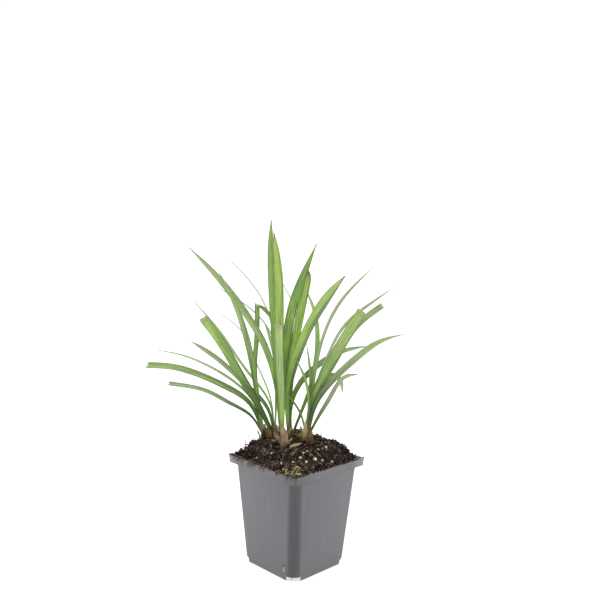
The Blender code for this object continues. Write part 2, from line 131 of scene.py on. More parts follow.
# Each leaf: width, the way its face looks at the foot and at the tip in degrees from the right
# of the view, its end, its tone at the foot and at the tip from 0, yellow-green, to 1, dark, how
# grey it is, and the points that its midrib passes through above the crown.
LEAVES = {
    "fan_left": [
        (6.0, -80, -60, "pointed", 0.55, 0.45, 0.35, [(-38, 14, 152), (-45, 13, 191), (-53, 12, 220),
         (-62, 11, 243), (-74, 10, 267)]),
        (4.5, -85, -80, "cut", 0.55, 0.45, 0.1, [(-37, 16, 148), (-41, 18, 175), (-40, 20, 202),
         (-40, 23, 238)]),
        (3.5, -50, -20, "pointed", 0.6, 0.45, 0.6, [(-41, 16, 145), (-60, 19, 164), (-86, 24, 178),
         (-109, 29, 186), (-134, 34, 190)]),
        (6.0, -75, -75, "cut", 0.8, 0.42, 0.3, [(-46, 12, 147), (-66, 9, 161), (-93, 4, 174),
         (-115, -1, 181), (-137, -6, 183)]),
        (4.0, -70, -70, "cut", 0.85, 0.7, 0.45, [(-43, 10, 134), (-62, 1, 148), (-81, -10, 161),
         (-96, -22, 168), (-112, -34, 173)]),
    ],
    "fan_back_left": [
        (8.0, -80, -85, "cut", 0.85, 0.25, 0.1, [(-36, 7, 144), (-52, 1, 172), (-68, -7, 202),
         (-86, -16, 229)]),
        (3.5, -40, -40, "pointed", 0.5, 0.4, 0.6, [(-26, 17, 144), (-49, 24, 174), (-73, 31, 206),
         (-100, 38, 236)]),
        (5.0, -70, -75, "blunt", 0.7, 0.5, 0.5, [(-28, 21, 138), (-50, 31, 159), (-76, 43, 179),
         (-106, 54, 196)]),
        (3.0, -20, -20, "pointed", 0.4, 0.5, 0.75, [(-21, 23, 156), (-26, 44, 212), (-42, 59, 246),
         (-70, 74, 275)]),
        (3.0, -30, -10, "pointed", 0.4, 0.6, 0.6, [(-20, 23, 154), (-26, 39, 205), (-48, 50, 230),
         (-79, 60, 248)]),
        (3.0, -30, -10, "pointed", 0.4, 0.4, 0.7, [(-26, 23, 148), (-43, 44, 182), (-56, 57, 206),
         (-78, 70, 221)]),
    ],
    "fan_middle": [
        (6.5, -70, -75, "blunt", 0.5, 0.5, 0.2, [(-19, 0, 164), (-23, 8, 212), (-28, 24, 272),
         (-29, 38, 316)]),
        (8.0, -90, -85, "blunt", 0.4, 0.15, 0.0, [(-16, -4, 164), (-18, -3, 209), (-20, 0, 265),
         (-25, 4, 305)]),
        (7.0, -95, -95, "cut", 0.4, 0.25, 0.35, [(-15, -9, 160), (-17, -18, 194), (-18, -30, 227)]),
        (7.0, -50, -90, "pointed", 0.4, 0.45, 0.4, [(-20, 4, 162), (-32, 12, 200), (-51, 21, 229),
         (-81, 38, 263), (-109, 54, 288)]),
        (4.5, -60, -70, "pointed", 0.35, 0.35, 0.3, [(-19, 5, 160), (-22, 16, 187), (-34, 32, 221)]),
    ],
    "fan_centre": [
        (8.5, -85, -80, "pointed", 0.38, 0.6, 0.05, [(-11, 12, 158), (-12, 7, 196), (-7, -2, 237),
         (2, -12, 267), (13, -24, 296)]),
        (7.5, -95, -85, "rounded", 0.35, 0.3, 0.0, [(-8, 9, 160), (-5, 6, 197), (1, 0, 235),
         (7, -6, 272)]),
        (10.5, -115, -115, "blunt", 0.55, 0.6, 0.1, [(-8, 2, 164), (1, -10, 202), (17, -27, 239),
         (37, -48, 271)]),
        (3.0, -30, -20, "pointed", 0.5, 0.35, 0.2, [(-6, 15, 154), (-3, 26, 193), (-6, 42, 234),
         (-17, 52, 255)]),
        (5.5, -75, -40, "pointed", 0.75, 0.6, 0.4, [(-5, 16, 150), (3, 21, 166), (18, 28, 180),
         (41, 38, 192), (68, 48, 196)]),
        (5.0, -60, -60, "pointed", 0.6, 0.3, 0.15, [(3, 15, 137), (11, 19, 160), (17, 28, 201),
         (14, 34, 229), (3, 42, 255)]),
    ],
    "fan_right": [
        (3.5, -60, -40, "pointed", 0.35, 0.4, 0.8, [(13, 13, 154), (19, 23, 196), (37, 38, 238),
         (71, 55, 273)]),
        (3.5, -50, -20, "pointed", 0.35, 0.5, 0.75, [(14, 12, 153), (27, 18, 192), (41, 24, 218),
         (64, 31, 238), (89, 38, 255)]),
        (8.5, -80, -80, "cut", 0.75, 0.22, 0.2, [(13, 6, 148), (24, 1, 178), (39, -6, 209),
         (55, -14, 238)]),
        (5.5, -60, -60, "cut", 0.6, 0.5, 0.4, [(14, 9, 149), (33, 11, 187), (52, 12, 220),
         (76, 14, 240)]),
        (6.0, -65, -60, "pointed", 0.95, 0.3, 0.45, [(16, 5, 147), (35, -2, 177), (52, -8, 195),
         (70, -14, 210), (91, -22, 219)]),
        (4.5, -110, -120, "blunt", 0.8, 0.6, 0.55, [(19, 2, 136), (31, -8, 161), (41, -16, 178),
         (52, -24, 183)]),
        (6.0, -65, -60, "blunt", 0.75, 0.5, 0.35, [(13, 12, 141), (18, 14, 156), (24, 16, 167),
         (30, 17, 172), (36, 19, 171), (40, 20, 165), (42, 22, 156)]),
        (3.0, -70, -60, "pointed", 0.5, 0.6, 0.2, [(10, 4, 146), (7, -4, 170), (-3, -17, 195)]),
        (3.0, -60, -60, "pointed", 0.5, 0.4, 0.4, [(11, 11, 146), (11, 17, 172), (7, 26, 201)]),
        (2.5, -60, -60, "pointed", 0.8, 0.8, 0.0, [(4, 3, 136), (-2, -4, 149), (-11, -14, 162)]),
    ],
}

# The end of a leaf that is creased and hangs over: width, the way it faces, points from the crease.
FOLDED_ENDS = {
    "fan_left": (4.0, -80, [(-42, 23, 236), (-37, 25, 235), (-33, 26, 232), (-25, 28, 223)]),
}

# Dry husks: width, the way each faces, foot (across, depth), points above, how brown it is.
HUSKS = {
    "husk_left": (5.0, -95, (-25.0, 5.5), [(-28, 4, 127)], 0.7),
    "husk_middle": (7.0, -80, (-11.5, -8.5), [(-12, -8.5, 122), (-14, -8, 132)], 0.55),
    "husk_right": (6.5, -85, (11.5, -1.2), [(13.5, -2.5, 125)], 0.75),
    "husk_front": (2.5, -80, (-6.0, -11.5), [(-1, -11.5, 114), (5, -11, 116)], 0.3),
    "yellow_leaf": (4.5, -85, (7.2, 2.6), [(7.4, 2.2, 124), (7.8, 1.8, 134)], 0.0),
}
HUSK_DEPTH = 12.0

# Twigs that stand in the soil: foot (across, depth), tip, radius, tone.
TWIGS = [
    ((-48, 4), (-47, 3, 116), 0.35, 0.5), ((-43, 6), (-44.5, 6, 121), 0.25, 0.7),
    ((21, 4), (23, 3, 123), 0.45, 0.2), ((16, 2), (18, 1, 121), 0.5, 0.05),
    ((-36, 2), (-41, 1, 118), 0.3, 0.8), ((30, 6), (37, 5, 118), 0.3, 0.6),
]

# Feed granules on the soil: across, depth.
GRANULES = [
    (9.3, -18.8), (6.2, -21.8), (16.5, -26.0), (8.5, -32.5), (19.3, -14.5), (-35.7, -14.8),
    (-13.0, -33.0), (-2.9, -38.0), (0.7, -44.0), (31.9, -20.8), (51.5, 3.5), (53.5, 4.5),
    (12.0, -22.5), (3.5, -27.0), (23.0, -24.0), (-22.0, -20.0), (26.5, -11.0),
]

# The root that hangs from the front notch, from its top down.
ROOT_PATH = [(-2.5, -41.0, 4.6), (-2.3, -41.6, 3.2), (-1.8, -42.0, 1.9), (-1.0, -42.2, 0.7)]

# How many bits lie on the soil and on the lip.
SOIL_CRUMBS = 1500
LIP_CRUMBS = 420
LOOSE_BARK = 380
LEFT_BARK = 150
RIGHT_BARK = 90
LOOSE_FIBRES = 420
HANGING_FIBRES = 46
MOSS_CLUMPS = 26
LEAFLETS = 12
SCRAPS_PER_FAN = 22

# Colours of the leaves, from light to dark where there are stops
LEAF_STOPS = [(0.0, (0.50, 0.66, 0.20)), (0.3, (0.32, 0.51, 0.085)), (0.55, (0.19, 0.36, 0.05)),
              (0.8, (0.10, 0.19, 0.04)), (1.0, (0.05, 0.095, 0.03))]
DULL_GREEN = (0.46, 0.50, 0.36)
PALE_FOOT = (0.72, 0.74, 0.50)
DRY_BROWN = (0.24, 0.16, 0.10)
SPECK_BROWN = (0.16, 0.12, 0.06)
HUSK_STOPS = [(0.0, (0.66, 0.58, 0.22)), (0.35, (0.55, 0.43, 0.26)), (0.7, (0.27, 0.16, 0.09)),
              (1.0, (0.09, 0.05, 0.03))]

# Colours of the pot
PLASTIC_DARK = (0.108, 0.105, 0.117)
PLASTIC_LIGHT = (0.138, 0.134, 0.147)
# Painted shade for the wall's corners, painted light for the lip's ears and painted shade for the lip's
# front and back corners
PAINTED_CORNER_SHADE = (0.030, 0.027, 0.032)
PAINTED_EAR_LIGHT = (0.27, 0.265, 0.28)
PAINTED_LIP_SHADE = (0.055, 0.052, 0.057)
SCUFF_GREY = (0.25, 0.24, 0.25)
DUST_BROWN = (0.20, 0.155, 0.125)
STUCK_PEAT = (0.10, 0.075, 0.06)
ALGAE_GREEN = (0.13, 0.14, 0.08)

# Colours of the soil
PEAT_STOPS = [(0.0, (0.005, 0.003, 0.003)), (0.45, (0.014, 0.008, 0.008)), (0.6, (0.040, 0.023, 0.019)),
              (1.0, (0.17, 0.11, 0.065))]
FLECK_TAN = (0.24, 0.17, 0.10)

# Each kind of bit: its finish, its dark and its light colour, and how fine its grain is.
BITS = {
    "soil_crumbs": ("crumb_peat", (0.007, 0.004, 0.004), (0.23, 0.155, 0.11), 900.0),
    "bark_bits": ("bark_brown", (0.012, 0.006, 0.006), (0.29, 0.175, 0.13), 700.0),
    "soil_fibres": ("fibre_tan", (0.05, 0.025, 0.018), (0.46, 0.35, 0.21), 900.0),
    "soil_twigs": ("twig_brown", (0.05, 0.028, 0.018), (0.36, 0.27, 0.17), 700.0),
    "feed_granules": ("granule_pale", (0.55, 0.50, 0.22), (0.86, 0.82, 0.58), 500.0),
    "moss_patch": ("moss_green", (0.05, 0.06, 0.02), (0.52, 0.55, 0.22), 800.0),
    "root_tip": ("root_brown", (0.16, 0.12, 0.08), (0.45, 0.38, 0.28), 700.0),
}

# Studio: how bright the surroundings are behind, at the sides and in front
BACK_GLOW = 1.04
SIDE_GLOW = 1.45
FRONT_GLOW = 0.1
FLOOR_SIZE = 60.0
FLOOR_GLOW = 0.7
FLOOR_GREYS = ((0.50, 0.50, 0.50), (0.54, 0.54, 0.54))
AIM_HEIGHT = 0.15

# Each light: across, depth, height and size in metres, power in watts.
LIGHTS = {
    "left_light": (-1.2, 0.1, 0.6, 0.9, 4.0),
    "right_light": (1.2, 0.1, 0.6, 0.9, 4.0),
    "top_light": (0.0, 0.2, 1.5, 1.4, 5.0),
}

# Camera: across, depth and height in metres, lens and sensor in millimetres, degrees down, roll.
CAMERA_PLACE = (-0.0001, -0.682, 0.3184)
LENS = 45.6
SENSOR_WIDTH = 36.0
LOOKS_DOWN = 6.15
ROLL = 1.32


# Shader expressions


class Wire:
    """A shader value: arithmetic on it adds Math nodes."""

    def __init__(self, tree, socket):
        self.tree = tree
        self.socket = socket

    def math(self, operation, other=None):
        values = (self,) if other is None else (self, other)
        return self.tree.add("ShaderNodeMath", {"operation": operation}, *values)

    def __add__(self, other):
        return self.math("ADD", other)

    __radd__ = __add__

    def __sub__(self, other):
        return self.math("SUBTRACT", other)

    def __rsub__(self, other):
        return self.tree.add("ShaderNodeMath", {"operation": "SUBTRACT"}, other, self)

    def __mul__(self, other):
        return self.math("MULTIPLY", other)

    __rmul__ = __mul__

    def clamp(self):
        return self.tree.add("ShaderNodeClamp", {}, self)

    def ramp(self, low, high):
        """0 below low, 1 above high, soft between them."""
        return self.tree.add("ShaderNodeMapRange", {"interpolation_type": "SMOOTHSTEP"},
                             self, low, high, 0.0, 1.0)


class Graph:
    """A node tree that expressions add their nodes to."""

    def __init__(self, tree):
        self.nodes = tree.nodes
        self.links = tree.links

    def fill(self, socket, value):
        """Link a wire to a socket, or set the socket to a number, a vector or a colour."""
        if isinstance(value, Wire):
            self.links.new(value.socket, socket)
        elif isinstance(value, tuple) and len(value) == 3 and socket.type == "RGBA":
            socket.default_value = (*value, 1.0)
        else:
            socket.default_value = value

    def add(self, kind, settings, *values, output=0, **named):
        """A node of a kind: its settings first, then its sockets in order or by name."""
        node = self.nodes.new(kind)
        for key, value in settings.items():
            if key == "stops":
                self.set_stops(node.color_ramp, value)
            else:
                setattr(node, key, value)
        for socket, value in zip(node.inputs, values):
            self.fill(socket, value)
        for key, value in named.items():
            self.fill(node.inputs[key.replace("_", " ")], value)
        return Wire(self, node.outputs[output])

    def set_stops(self, ramp, stops):
        while len(ramp.elements) < len(stops):
            ramp.elements.new(1.0)
        for element, (place, colour) in zip(ramp.elements, stops):
            element.position = place
            element.color = (*colour, 1.0)

    def mix(self, share, first, second):
        """A colour between two colours."""
        node = self.nodes.new("ShaderNodeMix")
        node.data_type = "RGBA"
        self.fill(node.inputs["Factor"], share)
        self.fill(node.inputs[6], first)
        self.fill(node.inputs[7], second)
        return Wire(self, node.outputs[2])

    def axis(self, place, letter):
        """One coordinate of a place."""
        return self.add("ShaderNodeSeparateXYZ", {}, place, output=letter)


class Finish(Graph):
    """A procedural material: adds its nodes and joins them to the shader."""

    def __init__(self, name, **constants):
        self.material = bpy.data.materials.new(name)
        self.material.use_nodes = True
        super().__init__(self.material.node_tree)
        self.shader = self.nodes["Principled BSDF"]
        for socket, value in constants.items():
            self.shader.inputs[socket.replace("_", " ")].default_value = value

    def place(self):
        return self.add("ShaderNodeTexCoord", {}, output="Object")

    def attribute(self, name):
        return self.add("ShaderNodeAttribute", {"attribute_name": name}, output="Fac")

    def along_blade(self, slowness):
        """A place in the blade's own terms, which draws a pattern out along the veins."""
        return self.add("ShaderNodeCombineXYZ", {}, self.attribute("veins"),
                        self.attribute("along") * slowness, self.attribute("seed"))

    def stretched(self, place, x, y, z):
        """The place with each axis scaled, which lengthens or shortens a pattern."""
        return self.add("ShaderNodeMapping", {"vector_type": "POINT"}, place, (0, 0, 0), (0, 0, 0),
                        (x, y, z))

    def noise(self, place, scale, detail=3.0, roughness=0.55):
        return self.add("ShaderNodeTexNoise", {}, Vector=place, Scale=scale, Detail=detail,
                        Roughness=roughness)

    def specks(self, place, scale, near, far):
        """1 within near of scattered points, 0 beyond far."""
        return 1 - self.add("ShaderNodeTexVoronoi", {}, Vector=place, Scale=scale).ramp(near, far)

    def gradient(self, stops, value):
        """A colour read off a row of colours."""
        return self.add("ShaderNodeValToRGB", {"stops": stops}, value)

    def finish(self, colour, roughness=None, height=None, strength=0.3, distance=0.001):
        """Join the colour, the roughness and a relief to the shader."""
        self.fill(self.shader.inputs["Base Color"], colour)
        if roughness is not None:
            self.fill(self.shader.inputs["Roughness"], roughness)
        if height is not None:
            normal = self.add("ShaderNodeBump", {}, Strength=strength, Distance=distance, Height=height)
            self.fill(self.shader.inputs["Normal"], normal)
        return self.material


# Finishes


def leaf_finish(name, dark):
    """Parallel-veined leaf: tone, greyness, dryness and paleness come from its attributes."""
    f = Finish(name, Specular_IOR_Level=0.3)
    place = f.place()
    stripe_place = f.along_blade(0.5)
    fine = f.noise(stripe_place, 2.6, 2.0, 0.6)
    broad = f.noise(stripe_place, 0.9, 2.0, 0.5)
    blotch = f.noise(place, 60.0, 3.0)
    edge = (f.attribute("across") * 2 - 1).math("ABSOLUTE")
    midrib = 1 - edge.ramp(0.02, 0.22)
    tone = f.attribute("tone") + (fine - 0.5) * 1.5 + (broad - 0.5) * 1.1 + (blotch - 0.5) * 0.3
    tone = tone + edge.ramp(0.7, 0.95) * 0.3 - midrib * 0.2 + dark
    colour = f.gradient(LEAF_STOPS, tone.clamp())
    dull = f.attribute("grey") + (blotch - 0.5) * 0.2
    colour = f.mix(dull.clamp(), colour, DULL_GREEN)
    pale = f.attribute("pale") + (fine - 0.5) * 0.5 * f.attribute("pale")
    colour = f.mix(pale.clamp(), colour, PALE_FOOT)
    dry = f.attribute("dry") * (0.7 + blotch * 0.6)
    colour = f.mix(dry.clamp(), colour, DRY_BROWN)
    specks = f.specks(f.stretched(place, 1, 1, 0.5), 260.0, 0.05, 0.16)
    colour = f.mix(specks * blotch.ramp(0.56, 0.68) * 0.7, colour, SPECK_BROWN)
    roughness = 0.42 + (fine - 0.5) * 0.25
    return f.finish(colour, roughness, fine + broad * 0.5 - midrib * 0.6, 0.35, 0.0004)


def husk_finish(name):
    """Papery sheath: straw to brown along its attribute, with dark fibres."""
    f = Finish(name, Specular_IOR_Level=0.25)
    fibre = f.noise(f.along_blade(0.6), 4.0, 3.0, 0.65)
    blotch = f.noise(f.place(), 140.0, 4.0)
    brown = f.attribute("tone") + (blotch - 0.5) * 0.9 + (fibre - 0.5) * 0.8
    colour = f.gradient(HUSK_STOPS, brown.clamp())
    return f.finish(colour, 0.7 + (fibre - 0.5) * 0.2, fibre + blotch * 0.6, 0.5, 0.0005)


def plastic_with_painted_light(f, place, height, flow, cloud):
    """The bare plastic: flow lines, painted shade on the corners below the lip, painted light on the ears
    at the sides of it and painted shade on the lip at the front and back corners.
    """
    x = f.axis(place, "X")
    y = f.axis(place, "Y")
    lip = height.ramp(0.0925, 0.0935)
    streaks = 0.5 + (flow - 0.5) * 0.9 + (cloud - 0.5) * 0.7
    colour = f.mix(streaks.clamp(), PLASTIC_DARK, PLASTIC_LIGHT)
    # Painted shade down the wall's rounded corners below the lip.
    inmost = x.math("ABSOLUTE").math("MINIMUM", y.math("ABSOLUTE"))
    corner = (inmost - height * 0.08).ramp(0.0235, 0.0285)
    colour = f.mix(corner * 0.62 * (1 - lip), colour, PAINTED_CORNER_SHADE)
    # Painted light on the lip's ears at the left and right of the view, where the side lights fall.
    across = (x - y).math("ABSOLUTE") * math.sqrt(0.5)
    depth = (x + y).math("ABSOLUTE") * math.sqrt(0.5)
    colour = f.mix(across.ramp(0.050, 0.060) * lip * 0.7, colour, PAINTED_EAR_LIGHT)
    # Painted shade on the lip at the front and back corners of the view.
    return f.mix(depth.ramp(0.042, 0.058) * lip * 0.5, colour, PAINTED_LIP_SHADE)


def pot_finish():
    """Grey moulded plastic: faint vertical flow lines, painted shade and light on its corners and lip,
    dust under the lip, scuffs and splashes.
    """
    f = Finish("pot_plastic", Specular_IOR_Level=0.5)
    place = f.place()
    height = f.axis(place, "Z")
    flow = f.noise(f.stretched(place, 1, 1, 0.06), 220.0, 3.0)
    cloud = f.noise(place, 22.0, 4.0)
    grain = f.noise(place, 1400.0, 2.0)
    colour = plastic_with_painted_light(f, place, height, flow, cloud)
    scuff = f.noise(f.stretched(place, 1, 1, 0.16), 90.0, 5.0, 0.7).ramp(0.63, 0.76)
    colour = f.mix(scuff * 0.2, colour, SCUFF_GREY)
    near_lip = height.ramp(0.070, 0.099)
    dust = f.noise(place, 75.0, 6.0, 0.7).ramp(0.46, 0.70) * near_lip
    colour = f.mix(dust * 0.55, colour, DUST_BROWN)
    peat = f.specks(place, 420.0, 0.10, 0.30) * f.noise(place, 55.0).ramp(0.5, 0.62)
    colour = f.mix(peat * near_lip * 0.8, colour, STUCK_PEAT)
    splash = 1 - height.ramp(0.0, 0.014)
    algae = f.noise(place, 130.0, 4.0).ramp(0.40, 0.66) * splash
    colour = f.mix(algae * 0.5, colour, ALGAE_GREEN)
    roughness = 0.38 + dust * 0.3 + (cloud - 0.5) * 0.1
    return f.finish(colour, roughness, grain + flow * 2.0 + peat * 2.0, 0.12, 0.0003)


def soil_finish():
    """Damp peat: black-brown with ruddy and tan flecks."""
    f = Finish("soil_peat", Specular_IOR_Level=0.15)
    place = f.place()
    lumps = f.noise(place, 260.0, 6.0, 0.7)
    patch = f.noise(place, 70.0, 3.0)
    colour = f.gradient(PEAT_STOPS, lumps + (patch - 0.5) * 0.4)
    flecks = f.specks(place, 600.0, 0.08, 0.22)
    colour = f.mix(flecks * f.noise(place, 190.0).ramp(0.52, 0.6) * 0.8, colour, FLECK_TAN)
    return f.finish(colour, 0.78 + (lumps - 0.5) * 0.3, lumps + flecks * 0.3, 0.9, 0.0012)


def crumb_finish(name, dark, light, scale):
    """Bits of one kind: each has its own tone between two colours, and a grain."""
    f = Finish(name, Specular_IOR_Level=0.15)
    grain = f.noise(f.place(), scale, 4.0, 0.65)
    share = f.attribute("tone") + (grain - 0.5) * 0.5
    colour = f.mix(share.clamp(), dark, light)
    return f.finish(colour, 0.65 + (grain - 0.5) * 0.3, grain, 0.6, 0.0005)


# Places and meshes


def turned(points):
    """Points from across, depth, height into the pot's axes."""
    across, depth, height = np.moveaxis(np.asarray(points, float), -1, 0)
    x = across * math.cos(VIEW_TURN) - depth * math.sin(VIEW_TURN)
    y = across * math.sin(VIEW_TURN) + depth * math.cos(VIEW_TURN)
    return np.stack([x, y, height], -1)


def in_view(x, y):
    """Across and depth of a place in the pot's axes."""
    across = x * math.cos(VIEW_TURN) + y * math.sin(VIEW_TURN)
    depth = -x * math.sin(VIEW_TURN) + y * math.cos(VIEW_TURN)
    return across, depth


def off_axis(x, y):
    """How far a place is from the axis, measured square to the walls."""
    return np.maximum(np.abs(x), np.abs(y))


def unit(vectors):
    return vectors / np.linalg.norm(vectors, axis=1, keepdims=True)


def full_turn(count):
    """Angles of evenly spaced places round a circle."""
    return np.linspace(0, 2 * math.pi, count, endpoint=False)


def make_piece(name, points, faces, finish, attributes=None):
    """A mesh object from points in millimetres; it rides on the body."""
    mesh = bpy.data.meshes.new(name)
    mesh.from_pydata((np.asarray(points) * MM).tolist(), [], [tuple(face) for face in faces])
    mesh.materials.append(finish)
    for key, values in (attributes or {}).items():
        layer = mesh.attributes.new(key, "FLOAT", "POINT")
        layer.data.foreach_set("value", np.asarray(values, np.float32))
    mesh.shade_smooth()
    mesh.update()
    piece = bpy.data.objects.new(name, mesh)
    bpy.context.scene.collection.objects.link(piece)
    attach(piece, "root")
    return piece


class Heap:
    """Gathers many small shapes into one mesh, each with its own attribute values."""

    def __init__(self):
        self.points = []
        self.faces = []
        self.values = {}
        self.count = 0

    def add(self, points, faces, **values):
        """Add a shape; a value is one number for all of it, or one number for each point."""
        points = np.asarray(points).reshape(-1, 3)
        self.points.append(points)
        self.faces.extend((np.asarray(face) + self.count).tolist() for face in faces)
        for key, value in values.items():
            self.values.setdefault(key, []).append(np.broadcast_to(np.ravel(value), len(points)))
        self.count += len(points)

    def add_tube(self, points, **values):
        """Add a closed tube given by its stations, each a ring of points."""
        self.add(points, tube_faces(*points.shape[:2]), **values)

    def piece(self, name, finish, slot):
        values = {key: np.concatenate(parts) for key, parts in self.values.items()}
        return make_piece(name, np.concatenate(self.points), self.faces, finish, values)


def tube_faces(stations, around):
    """Quads round a tube of stations, each a ring of points, and a face at each end."""
    k, i = np.meshgrid(np.arange(stations - 1), np.arange(around), indexing="ij")
    j = (i + 1) % around
    quads = np.stack([k * around + i, k * around + j, (k + 1) * around + j, (k + 1) * around + i], -1)
    faces = [tuple(face) for face in quads.reshape(-1, 4).tolist()]
    faces.append(tuple(range(around - 1, -1, -1)))
    faces.append(tuple(range((stations - 1) * around, stations * around)))
    return faces


def smooth(t):
    """A ramp from 0 to 1 with soft ends."""
    t = np.clip(t, 0.0, 1.0)
    return t * t * (3 - 2 * t)


def lattice_noise(x, y, size, seed):
    """Value noise: random heights on a square lattice, blended softly between its corners."""
    table = np.random.default_rng(seed).uniform(-1, 1, (LATTICE, LATTICE))
    u, v = np.asarray(x) / size + 31.7, np.asarray(y) / size + 17.3
    i, j = np.floor(u).astype(int), np.floor(v).astype(int)
    a, b = smooth(u - i), smooth(v - j)
    i, j = i % LATTICE, j % LATTICE
    i1, j1 = (i + 1) % LATTICE, (j + 1) % LATTICE
    low = table[i, j] * (1 - a) + table[i1, j] * a
    high = table[i, j1] * (1 - a) + table[i1, j1] * a
    return low * (1 - b) + high * b


# Leaves


def spline_bends(knots, spans):
    """The second derivative at each knot of a natural cubic spline.

    They solve one linear system that makes the slopes of neighbouring spans meet; the two ends
    have none.
    """
    size = len(knots)
    rows = np.eye(size)
    right = np.zeros((size, 3))
    inner = np.arange(1, size - 1)
    rows[inner, inner - 1] = spans[:-1]
    rows[inner, inner] = 2 * (spans[:-1] + spans[1:])
    rows[inner, inner + 1] = spans[1:]
    right[1:-1] = 6 * np.diff(np.diff(knots, axis=0) / spans[:, None], axis=0)
    return np.linalg.solve(rows, right)


def smooth_path(knots):
    """Points, directions, shares of length and lengths along a natural cubic spline.

    Each span is a cubic whose second derivative runs evenly from one knot's bend to the next's.
    """
    knots = np.array(knots, float)
    spans = np.linalg.norm(np.diff(knots, axis=0), axis=1)
    bends = spline_bends(knots, spans)
    starts = np.concatenate([[0.0], np.cumsum(spans)])
    count = int(starts[-1] / STATION_SPACING) + 2
    places = np.linspace(0, starts[-1], count)
    i = np.clip(np.searchsorted(starts, places, side="right") - 1, 0, len(knots) - 2)
    h = spans[i][:, None]
    b = places[:, None] - starts[i][:, None]
    a = h - b
    first = knots[i] / h - bends[i] * h / 6
    last = knots[i + 1] / h - bends[i + 1] * h / 6
    points = (bends[i] * a ** 3 + bends[i + 1] * b ** 3) / (6 * h) + first * a + last * b
    directions = (bends[i + 1] * b ** 2 - bends[i] * a ** 2) / (2 * h) + last - first
    return points, unit(directions), places / places[-1], places


def width_share(s, end):
    """The blade's width along its length, as a share of its full width."""
    foot = 0.5 + 0.5 * smooth(s / 0.5)
    if end == "cut":
        return foot
    if end == "rounded":
        return foot * np.sqrt(np.clip(1 - np.clip((s - 0.93) / 0.07, 0, 1) ** 2, 0.02, 1))
    start, power = TAPERS[end]
    tip = np.clip((s - start) / (1 - start), 0, 1)
    return foot * np.clip(1 - tip ** power, 0.1, 1)


def blade_axes(directions, face):
    """Unit vectors across a blade and out of its upper face, for each station of its path."""
    level = math.cos(FACE_RISE)
    rise = np.full_like(face, math.sin(FACE_RISE))
    looks = np.stack([np.cos(face) * level, np.sin(face) * level, rise], -1)
    side = unit(np.cross(looks, directions))
    return side, np.cross(directions, side)


def blade(knots, width, faces_to, end, seed, ragged=0.0):
    """A leaf blade's points, coordinates and shares of length.

    The section is a shallow V across the path: half the width times u across and times |u|
    times the fold upward, with the thickness thinning to the edges. The section's face turns
    evenly from one angle to the other along the path. The edges ripple slowly, and the end is
    moved along the path by a jagged amount that depends on u.
    """
    u = BLADE_RING
    path, directions, s, length = smooth_path(knots)
    face = np.radians(faces_to[0] + (faces_to[1] - faces_to[0]) * s)
    side, up = blade_axes(directions, face)
    half = width * width_share(s, end) / 2
    thin = LEAF_THICKNESS * (1 - EDGE_THINNING * np.abs(u) ** 3)
    gutter = LEAF_FOLD * np.sqrt(u ** 2 + 0.02)
    ripple = 0.05 * np.sin(length[:, None] * 0.11 + seed) * u
    lift = half[:, None] * (gutter + ripple) - BELOW * thin
    reach = half[:, None] * u
    points = path[:, None] + side[:, None] * reach[..., None] + up[:, None] * lift[..., None]
    jag = lattice_noise(u * 3, np.full(len(u), seed * 7.7), 0.7, 5) * ragged
    near_end = smooth((s - 0.9) / 0.1)[:, None]
    points = points + directions[:, None] * (jag * near_end)[..., None]
    shape = points.shape[:2]
    coordinates = {
        "across": np.broadcast_to((u + 1) / 2, shape),
        "veins": np.broadcast_to(u * width / 2, shape),
        "along": np.broadcast_to(length[:, None] * 0.05, shape),
    }
    return points, coordinates, np.broadcast_to(s[:, None], shape)


def crown(name):
    """A fan's foot: an ellipse swept upward and drawn in, with seven soft ribs round it."""
    across, depth, half_width = FANS[name]
    rings, around = 16, 24
    heights = np.linspace(CROWN_HEIGHT - CROWN_DEPTH, CROWN_HEIGHT + CROWN_RISE, rings)
    size = np.interp(heights - CROWN_HEIGHT, *CROWN_NARROWS)
    angle = full_turn(around)
    ribs = 1 + 0.05 * np.sin(angle * CROWN_RIBS + len(name))
    ring = np.stack([np.cos(angle) * half_width * ribs, np.sin(angle) * CROWN_HALF_DEPTH * ribs], -1)
    points = np.concatenate([ring[None] * size[:, None, None] + (across, depth),
                             np.broadcast_to(heights[:, None, None], (rings, around, 1))], -1)
    rise = np.repeat(heights - CROWN_HEIGHT, around)
    tone, pale, brown = FEET[name]
    marks = {"across": 0.35, "veins": np.tile(angle * half_width, rings), "along": rise * 0.05,
             "seed": 3.0, "tone": tone, "grey": 0.1, "pale": pale * (1 - 0.5 * smooth(rise / 10)),
             "dry": brown + 0.5 * (1 - smooth((rise + 1) / 3))}
    return turned(points), marks


def leaf_marks(across, share, name, index, leaf):
    """What the finish reads along a leaf: tone, greyness, paleness and dryness."""
    foot_tone, tip_tone, grey, end = leaf
    _, foot_pale, foot_brown = FEET[name]
    near_foot = 1 - smooth(share / 0.13)
    near_end = smooth((share - 0.95) / 0.05)
    # Painted shade on one half of a folded leaf and painted light on the other.
    half = SHADED_HALVES.get((name, index), 0.0) * np.tanh((0.5 - across) * 8)
    pale = foot_pale * near_foot
    if end == "cut":
        pale = pale + 0.8 * smooth((share - 0.985) / 0.015)
    return {"tone": foot_tone + (tip_tone - foot_tone) * smooth(share) + half,
            "grey": grey * smooth((share - 0.1) / 0.5), "pale": pale,
            "dry": foot_brown * near_foot + near_end * (0.3 if end == "cut" else 1.0)}


def add_leaf(heap, shape, name, index, leaf):
    """Add a blade to its fan's heap, with what the finish reads."""
    points, uv, share = shape
    marks = leaf_marks(uv["across"], share, name, index, leaf)
    heap.add_tube(turned(points), seed=index * 3.7 + len(name), **uv, **marks)


